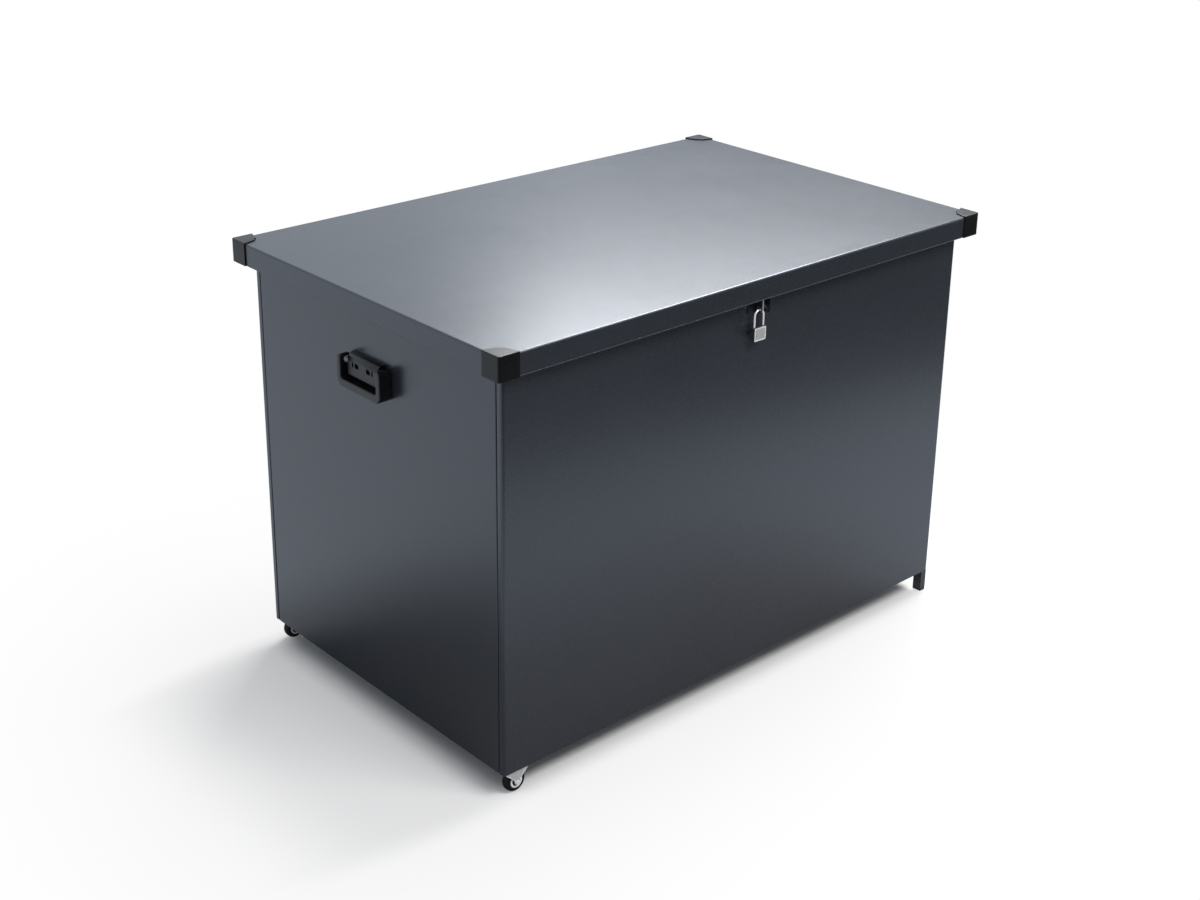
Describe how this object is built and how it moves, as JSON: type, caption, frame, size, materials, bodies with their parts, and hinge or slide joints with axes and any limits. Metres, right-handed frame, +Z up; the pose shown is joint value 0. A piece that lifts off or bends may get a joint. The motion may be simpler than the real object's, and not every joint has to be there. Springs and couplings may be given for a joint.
{
  "type": "jobsite storage box",
  "caption": "Sheet-steel storage chest with an overhanging hinged lid on gas struts, black corner caps, end handles, casters at one end, feet at the other and a hanging padlock.",
  "frame": {"origin": "on the floor under the middle of the lid", "axes": "+X along the length from the caster end to the foot end, +Y to the hinge side, +Z up; the front faces -Y"},
  "size_m": [1.2, 0.776, 0.832],
  "materials": {
    "painted_sheet": "dark blue-grey satin powder coat",
    "seal_rubber": "matte",
    "cap_plastic": "fine satin",
    "tyre_rubber": "matte",
    "hub_plastic": "satin",
    "black_steel": "black satin paint",
    "handle_plastic": "fine satin",
    "zinc_steel": "bright zinc plate",
    "chromed_steel": "polished",
    "padlock_steel": "satin steel",
    "plug_brass": "satin"
  },
  "bodies": {
    "chest": {"floor_pan": "painted_sheet", "floor_stiffeners": "painted_sheet", "foot_glides": "cap_plastic", "front_caster_axle": "zinc_steel", "front_caster_bolts": "zinc_steel", "front_caster_fork": "zinc_steel", "front_foot": "black_steel", "front_foot_bolts": "zinc_steel", "front_panel": "painted_sheet", "hasp_staple": "black_steel", "left_end_panel": "painted_sheet", "left_handle_base": "handle_plastic", "left_handle_pins": "zinc_steel", "left_handle_screws": "zinc_steel", "left_hinge_chest_leaf": "black_steel", "left_hinge_pin": "zinc_steel", "left_strut_anchor": "black_steel", "rear_caster_axle": "zinc_steel", "rear_caster_bolts": "zinc_steel", "rear_caster_fork": "zinc_steel", "rear_foot": "black_steel", "rear_foot_bolts": "zinc_steel", "rear_panel": "painted_sheet", "right_end_panel": "painted_sheet", "right_handle_base": "handle_plastic", "right_handle_pins": "zinc_steel", "right_handle_screws": "zinc_steel", "right_hinge_chest_leaf": "black_steel", "right_hinge_pin": "zinc_steel", "right_strut_anchor": "black_steel", "rim_gasket": "seal_rubber", "seam_seals": "seal_rubber"},
    "lid": {"lid_shell": "painted_sheet", "lid_stiffeners": "painted_sheet", "lid_eye": "black_steel", "lid_cap_front_left": "cap_plastic", "lid_cap_front_right": "cap_plastic", "lid_cap_rear_left": "cap_plastic", "lid_cap_rear_right": "cap_plastic", "left_hinge_lid_leaf": "black_steel", "right_hinge_lid_leaf": "black_steel", "left_strut_bracket": "black_steel", "right_strut_bracket": "black_steel"},
    "left_bail": {"left_handle_bail": "handle_plastic"},
    "right_bail": {"right_handle_bail": "handle_plastic"},
    "front_wheel": {"front_caster_tyre": "tyre_rubber", "front_caster_hub": "hub_plastic"},
    "rear_wheel": {"rear_caster_tyre": "tyre_rubber", "rear_caster_hub": "hub_plastic"},
    "left_strut_tube": {"left_strut_tube": "black_steel"},
    "left_strut_rod": {"left_strut_rod": "chromed_steel"},
    "right_strut_tube": {"right_strut_tube": "black_steel"},
    "right_strut_rod": {"right_strut_rod": "chromed_steel"},
    "shackle": {"padlock_shackle": "padlock_steel"},
    "padlock": {"padlock_body": "padlock_steel"},
    "plug": {"padlock_plug": "plug_brass"}
  },
  "joints": [
    {"name": "lid_hinge", "type": "hinge", "parent": "chest", "child": "lid", "pos_m": [0, 0.3795, 0.7825], "axis": [-1, 0, 0], "range_deg": [0, 90]},
    {"name": "left_handle_lift", "type": "hinge", "parent": "chest", "child": "left_bail", "pos_m": [-0.583, 0, 0.693], "axis": [0, 1, 0], "range_deg": [0, 90]},
    {"name": "right_handle_lift", "type": "hinge", "parent": "chest", "child": "right_bail", "pos_m": [0.583, 0, 0.693], "axis": [0, -1, 0], "range_deg": [0, 90]},
    {"name": "front_wheel_spin", "type": "hinge", "parent": "chest", "child": "front_wheel", "pos_m": [-0.539, -0.3435, 0.021], "axis": [0, 1, 0], "continuous": true},
    {"name": "rear_wheel_spin", "type": "hinge", "parent": "chest", "child": "rear_wheel", "pos_m": [-0.539, 0.3435, 0.021], "axis": [0, 1, 0], "continuous": true},
    {"name": "left_strut_swing", "type": "hinge", "parent": "chest", "child": "left_strut_tube", "pos_m": [-0.521, -0.0505, 0.5525], "axis": [1, 0, 0], "range_deg": [-3.27, 0]},
    {"name": "left_strut_extend", "type": "slide", "parent": "left_strut_tube", "child": "left_strut_rod", "axis": [0, 0.7625, 0.6469], "range_m": [0, 0.17407]},
    {"name": "right_strut_swing", "type": "hinge", "parent": "chest", "child": "right_strut_tube", "pos_m": [0.521, -0.0505, 0.5525], "axis": [1, 0, 0], "range_deg": [-3.27, 0]},
    {"name": "right_strut_extend", "type": "slide", "parent": "right_strut_tube", "child": "right_strut_rod", "axis": [0, 0.7625, 0.6469], "range_m": [0, 0.17407]},
    {"name": "padlock_swing", "type": "hinge", "parent": "chest", "child": "shackle", "pos_m": [-0.0004, -0.372, 0.76778], "axis": [-1, 0, 0], "range_deg": [-5, 70]},
    {"name": "padlock_release", "type": "slide", "parent": "shackle", "child": "padlock", "axis": [0, 0, -1], "range_m": [0, 0.009]},
    {"name": "key_turn", "type": "hinge", "parent": "padlock", "child": "plug", "pos_m": [-0.0004, -0.372, 0.7083], "axis": [0, 0, -1], "range_deg": [0, 90]}
  ],
  "couplings": [
    {"joint": "left_strut_swing", "follows": "lid_hinge", "ratio": -0.03582},
    {"joint": "left_strut_extend", "follows": "lid_hinge", "m_per_rad": 0.11069},
    {"joint": "right_strut_swing", "follows": "lid_hinge", "ratio": -0.03582},
    {"joint": "right_strut_extend", "follows": "lid_hinge", "m_per_rad": 0.11069}
  ]
}
